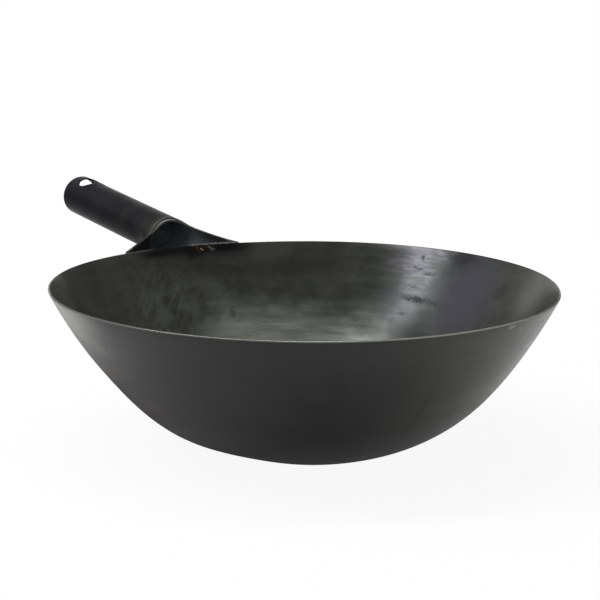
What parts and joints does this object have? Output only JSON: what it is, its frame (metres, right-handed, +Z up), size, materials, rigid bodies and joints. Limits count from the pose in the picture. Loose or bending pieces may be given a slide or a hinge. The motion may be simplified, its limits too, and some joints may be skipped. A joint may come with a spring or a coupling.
{
  "type": "wok",
  "caption": "Carbon steel wok: a wide deep bowl with a small flat base, and a hollow steel handle that flares into an open socket at the rim and has a hanging hole near its end.",
  "frame": {"origin": "centre of the bowl's flat base, on the bowl's axis, at the surface it stands on", "axes": "+Z up along the bowl's axis, +X out along the handle, +Y to the handle's left seen from the bowl"},
  "size_m": [0.5383, 0.3596, 0.1465],
  "materials": {
    "bowl_steel": "dark blue-grey carbon steel with an oiled, cloudy inside",
    "handle_steel": "dark bluish rolled sheet steel with paler worn edges",
    "weld_metal": "rough weld beads with brown heat tint"
  },
  "bodies": {
    "root": {"bowl": "bowl_steel", "handle_shell": "handle_steel", "socket_liner": "handle_steel", "grip_seam_weld": "weld_metal", "rim_weld_left": "weld_metal", "rim_weld_right": "weld_metal", "socket_welds": "weld_metal"}
  },
  "joints": []
}
